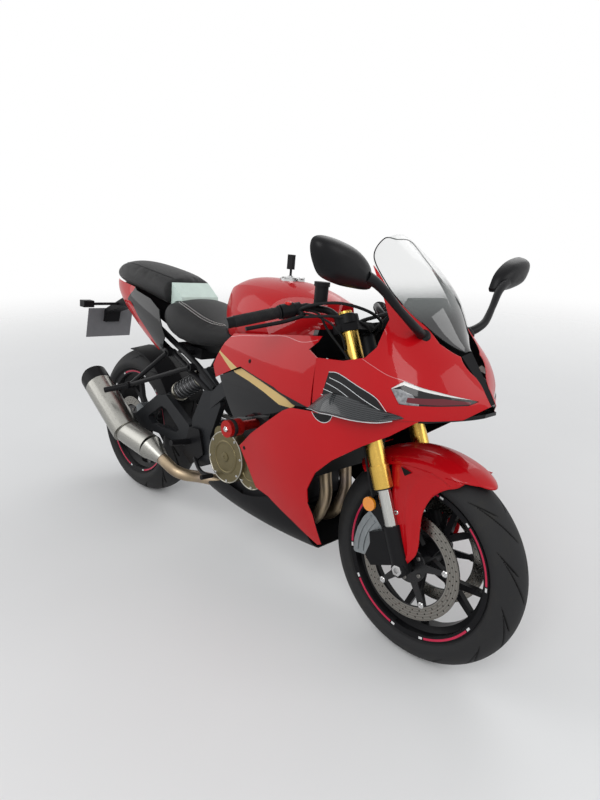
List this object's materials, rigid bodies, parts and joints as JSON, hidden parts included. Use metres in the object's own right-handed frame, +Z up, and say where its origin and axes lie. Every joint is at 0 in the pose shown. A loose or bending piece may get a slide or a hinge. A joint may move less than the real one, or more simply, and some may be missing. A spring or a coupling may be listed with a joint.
{
  "type": "sport bike",
  "caption": "Fully faired middleweight sport motorcycle with twin front discs, raised seat tail and side silencer, leaning on its side stand.",
  "frame": {"origin": "on the floor under the middle of the whole bike's box", "axes": "+X towards the front wheel, +Y to the rider's left, +Z up; the bike leans towards +Y on its side stand"},
  "size_m": [2.1195, 0.9608, 1.1856],
  "materials": {
    "frame_metal": "black satin coat",
    "engine_metal": "black cast",
    "cover_metal": "bronze satin coat",
    "radiator_metal": "black",
    "pipe_steel": "heat tinted",
    "muffler_steel": "brushed",
    "black_metal": "satin black",
    "shock_steel": "satin",
    "chain_steel": "oiled",
    "caliper_metal": "anodised grey",
    "red_metal": "anodised red",
    "bright_metal": "polished",
    "red_paint": "gloss lacquer",
    "black_plastic": "matt",
    "black_gloss": "gloss",
    "seat_leather": "grained",
    "mint_plastic": "satin",
    "lamp_red": "gloss",
    "plate_grey": "matt",
    "screen_clear": "clear, smoked low",
    "lens_clear": "clear",
    "fork_gold": "anodised gold",
    "fork_chrome": "polished",
    "grip_rubber": "matt",
    "amber_plastic": "gloss",
    "rim_black": "satin black",
    "tyre_rubber": "matt",
    "disc_steel": "ground"
  },
  "bodies": {
    "chassis": {"frame": "frame_metal", "engine_case": "engine_metal", "engine_covers": "cover_metal", "radiator": "radiator_metal", "exhaust_headers": "pipe_steel", "muffler": "muffler_steel", "muffler_cap": "black_metal", "swingarm": "frame_metal", "rear_shock": "shock_steel", "drive_chain": "chain_steel", "rear_caliper": "caliper_metal", "subframe": "black_metal", "pillion_pegs": "black_metal", "rearsets": "black_metal", "crash_bobbins": "red_metal", "tank": "red_paint", "filler_ring": "bright_metal", "rider_seat": "seat_leather", "pillion_seat": "seat_leather", "seat_band": "mint_plastic", "tail_cowl": "red_paint", "tail_light": "lamp_red", "plate_holder": "black_plastic", "number_plate": "plate_grey", "rear_hugger": "black_plastic", "upper_cowl": "red_paint", "nose_spine": "black_gloss", "windscreen": "screen_clear", "dash": "black_plastic", "headlights": "lens_clear", "chin_panel": "black_gloss", "side_fairings": "red_paint", "stand_spools": "black_metal", "tank_covers": "red_paint", "infill_panels": "black_gloss", "belly_pan": "black_plastic", "winglets": "black_gloss", "mirrors": "black_gloss"},
    "steering": {"triple_clamps": "black_metal", "steering_stem": "black_metal", "fork_outer_tubes": "fork_gold", "fork_inner_tubes": "fork_chrome", "axle_carriers": "black_metal", "front_fender": "red_paint", "handlebars": "black_metal", "grips": "grip_rubber", "levers": "black_metal", "brake_reservoir": "black_plastic", "front_calipers": "caliper_metal", "reflectors": "amber_plastic"},
    "front_wheel": {"front_rim": "rim_black", "front_tyre": "tyre_rubber", "front_discs": "disc_steel"},
    "rear_wheel": {"rear_rim": "rim_black", "rear_tyre": "tyre_rubber", "rear_disc": "disc_steel", "rear_sprocket": "chain_steel"},
    "side_stand": {"side_stand": "black_metal"},
    "fuel_lid": {"fuel_cap": "bright_metal", "key_fob": "black_plastic"}
  },
  "joints": [
    {"name": "steering", "type": "hinge", "parent": "chassis", "child": "steering", "pos_m": [0.53033, -0.04884, 0.71651], "axis": [-0.4147, 0.1109, 0.9032], "range_deg": [-24, 24]},
    {"name": "front_wheel_spin", "type": "hinge", "parent": "steering", "child": "front_wheel", "pos_m": [0.76123, -0.1003, 0.29739], "axis": [0, 0.9925, -0.1219], "continuous": true},
    {"name": "rear_wheel_spin", "type": "hinge", "parent": "chassis", "child": "rear_wheel", "pos_m": [-0.67777, -0.09871, 0.31029], "axis": [0, 0.9925, -0.1219], "continuous": true},
    {"name": "side_stand_fold", "type": "hinge", "parent": "chassis", "child": "side_stand", "pos_m": [-0.11777, 0.0504, 0.24463], "axis": [0, 0.989, 0.1478], "range_deg": [0, 95]},
    {"name": "fuel_lid_hinge", "type": "hinge", "parent": "chassis", "child": "fuel_lid", "pos_m": [0.17823, -0.01361, 1.00339], "axis": [0, 0.9925, -0.1219], "range_deg": [0, 100]}
  ]
}
